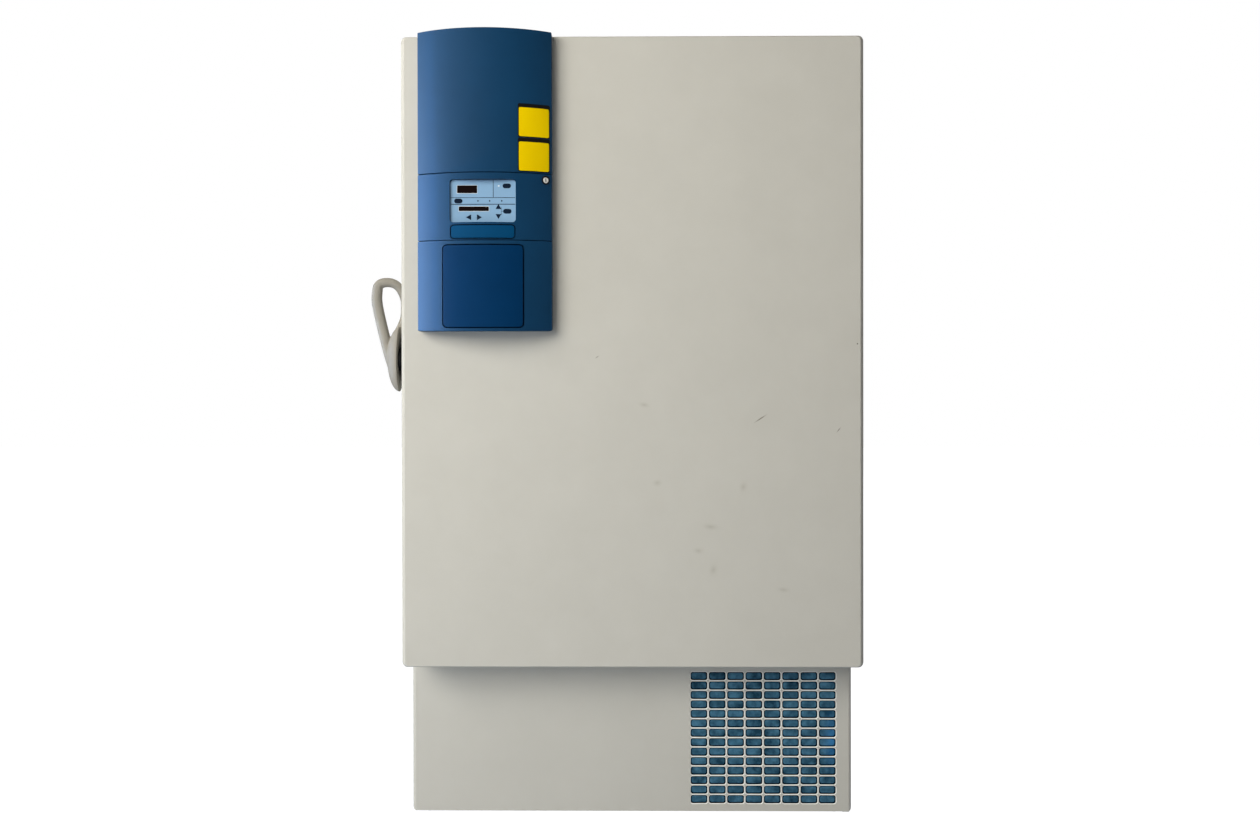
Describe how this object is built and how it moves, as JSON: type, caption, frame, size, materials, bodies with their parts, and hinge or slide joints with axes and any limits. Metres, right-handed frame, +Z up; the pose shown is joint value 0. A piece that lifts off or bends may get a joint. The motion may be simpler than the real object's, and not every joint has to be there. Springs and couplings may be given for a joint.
{
  "type": "upright laboratory freezer",
  "caption": "Upright ultra-low-temperature laboratory freezer with a full-width insulated door, curved control fascia, loop latch handle, inner doors and a slotted lower grille door.",
  "frame": {"origin": "middle of the bounding box on the floor under the levelling feet", "axes": "+X to the right seen from the front, +Y to the back, +Z up; the door faces -Y"},
  "size_m": [1.2403, 0.9826, 1.981],
  "materials": {
    "cream_paint": "satin",
    "blue_plastic": "satin",
    "dark_blue_plastic": "satin",
    "keypad_film": "satin",
    "black_plastic": "matte",
    "cast_handle": "painted",
    "stainless_steel": "satin",
    "zinc_steel": "satin",
    "grey_rubber": "matte",
    "rigid_foam": "matte",
    "white_plastic": "satin",
    "blue_filter_foam": "matte",
    "black_machine_paint": "satin",
    "aluminium_fins": "satin",
    "copper_tube": "satin",
    "caster_tyre": "matte"
  },
  "bodies": {
    "cabinet": {"cabinet_wrapper": "cream_paint", "cabinet_back": "zinc_steel", "rear_service_cover": "zinc_steel", "machine_deck": "zinc_steel", "hinge_bracket_lower": "zinc_steel", "hinge_bracket_middle": "zinc_steel", "hinge_bracket_upper": "zinc_steel", "latch_strike": "zinc_steel", "base_pan": "zinc_steel", "leveling_foot_fl": "zinc_steel", "leveling_foot_fr": "zinc_steel", "leveling_foot_rl": "zinc_steel", "leveling_foot_rr": "zinc_steel", "electrical_box": "zinc_steel", "cabinet_foam": "rigid_foam", "chamber_liner": "stainless_steel", "shelf_1": "stainless_steel", "shelf_2": "stainless_steel", "shelf_3": "stainless_steel", "inner_hinge_rod": "stainless_steel", "breaker_frame": "white_plastic", "heat_exchanger": "black_plastic", "power_inlet": "black_plastic", "compressor_high_stage": "black_machine_paint", "compressor_low_stage": "black_machine_paint", "fan_motor": "black_machine_paint", "condenser_coil": "aluminium_fins", "discharge_line": "copper_tube"},
    "door": {"door_skin": "cream_paint", "door_foam": "rigid_foam", "door_liner": "white_plastic", "door_gasket": "grey_rubber", "hinge_knuckle_lower": "zinc_steel", "hinge_knuckle_middle": "zinc_steel", "hinge_knuckle_upper": "zinc_steel", "upper_fascia": "blue_plastic", "control_bezel": "blue_plastic", "recorder_bezel": "blue_plastic", "control_keypad": "keypad_film", "blank_nameplate": "blue_plastic", "handle_mount": "black_plastic"},
    "handle": {"door_handle": "cast_handle", "latch_cam": "zinc_steel"},
    "recorder_cover": {"recorder_cover": "dark_blue_plastic"},
    "key_switch": {"key_switch": "white_plastic"},
    "grille_door": {"grille_panel": "cream_paint", "air_filter": "blue_filter_foam"},
    "fan": {"fan_blade": "black_plastic"},
    "inner_door_1": {"inner_door_1": "white_plastic"},
    "inner_door_2": {"inner_door_2": "white_plastic"},
    "inner_door_3": {"inner_door_3": "white_plastic"},
    "inner_door_4": {"inner_door_4": "white_plastic"},
    "caster_fork_fl": {"caster_fork_fl": "zinc_steel"},
    "caster_wheel_fl": {"caster_wheel_fl": "caster_tyre"},
    "caster_fork_fr": {"caster_fork_fr": "zinc_steel"},
    "caster_wheel_fr": {"caster_wheel_fr": "caster_tyre"},
    "caster_fork_rl": {"caster_fork_rl": "zinc_steel"},
    "caster_wheel_rl": {"caster_wheel_rl": "caster_tyre"},
    "caster_fork_rr": {"caster_fork_rr": "zinc_steel"},
    "caster_wheel_rr": {"caster_wheel_rr": "caster_tyre"}
  },
  "joints": [
    {"name": "door_hinge", "type": "hinge", "parent": "cabinet", "child": "door", "pos_m": [0.61115, -0.292, 1.2095], "axis": [0, 0, 1], "range_deg": [0, 120]},
    {"name": "inner_door_1_hinge", "type": "hinge", "parent": "cabinet", "child": "inner_door_1", "pos_m": [0.46735, -0.243, 0.695], "axis": [0, 0, 1], "range_deg": [0, 90]},
    {"name": "inner_door_2_hinge", "type": "hinge", "parent": "cabinet", "child": "inner_door_2", "pos_m": [0.46735, -0.243, 1.025], "axis": [0, 0, 1], "range_deg": [0, 90]},
    {"name": "inner_door_3_hinge", "type": "hinge", "parent": "cabinet", "child": "inner_door_3", "pos_m": [0.46735, -0.243, 1.355], "axis": [0, 0, 1], "range_deg": [0, 90]},
    {"name": "inner_door_4_hinge", "type": "hinge", "parent": "cabinet", "child": "inner_door_4", "pos_m": [0.46735, -0.243, 1.685], "axis": [0, 0, 1], "range_deg": [0, 90]},
    {"name": "handle_turn", "type": "hinge", "parent": "door", "child": "handle", "pos_m": [-0.52815, -0.33, 1.19], "axis": [1, 0, 0], "range_deg": [0, 75]},
    {"name": "recorder_cover_hinge", "type": "hinge", "parent": "door", "child": "recorder_cover", "pos_m": [-0.41145, -0.47481, 1.3695], "axis": [0, 0, -1], "range_deg": [0, 100]},
    {"name": "key_turn", "type": "hinge", "parent": "door", "child": "key_switch", "pos_m": [-0.17065, -0.4512, 1.624], "axis": [0.4829, -0.8757, 0], "range_deg": [0, 90]},
    {"name": "grille_hinge", "type": "hinge", "parent": "cabinet", "child": "grille_door", "pos_m": [0.59185, -0.275, 0.213], "axis": [0, 0, 1], "range_deg": [0, 100]},
    {"name": "fan_spin", "type": "hinge", "parent": "cabinet", "child": "fan", "pos_m": [0.36685, -0.135, 0.2405], "axis": [0, 1, 0], "continuous": true},
    {"name": "caster_fl_swivel", "type": "hinge", "parent": "cabinet", "child": "caster_fork_fl", "pos_m": [-0.40315, -0.135, 0.1], "axis": [0, 0, 1], "continuous": true},
    {"name": "caster_fl_roll", "type": "hinge", "parent": "caster_fork_fl", "child": "caster_wheel_fl", "pos_m": [-0.40315, -0.107, 0.039], "axis": [1, 0, 0], "continuous": true},
    {"name": "caster_fr_swivel", "type": "hinge", "parent": "cabinet", "child": "caster_fork_fr", "pos_m": [0.47685, -0.135, 0.1], "axis": [0, 0, 1], "continuous": true},
    {"name": "caster_fr_roll", "type": "hinge", "parent": "caster_fork_fr", "child": "caster_wheel_fr", "pos_m": [0.47685, -0.107, 0.039], "axis": [1, 0, 0], "continuous": true},
    {"name": "caster_rl_swivel", "type": "hinge", "parent": "cabinet", "child": "caster_fork_rl", "pos_m": [-0.40315, 0.335, 0.1], "axis": [0, 0, 1], "continuous": true},
    {"name": "caster_rl_roll", "type": "hinge", "parent": "caster_fork_rl", "child": "caster_wheel_rl", "pos_m": [-0.40315, 0.363, 0.039], "axis": [1, 0, 0], "continuous": true},
    {"name": "caster_rr_swivel", "type": "hinge", "parent": "cabinet", "child": "caster_fork_rr", "pos_m": [0.47685, 0.335, 0.1], "axis": [0, 0, 1], "continuous": true},
    {"name": "caster_rr_roll", "type": "hinge", "parent": "caster_fork_rr", "child": "caster_wheel_rr", "pos_m": [0.47685, 0.363, 0.039], "axis": [1, 0, 0], "continuous": true}
  ],
  "couplings": [
    {"joint": "inner_door_1_hinge", "follows": "door_hinge", "ratio": 0.75},
    {"joint": "inner_door_2_hinge", "follows": "door_hinge", "ratio": 0.75},
    {"joint": "inner_door_3_hinge", "follows": "door_hinge", "ratio": 0.75},
    {"joint": "inner_door_4_hinge", "follows": "door_hinge", "ratio": 0.75}
  ]
}
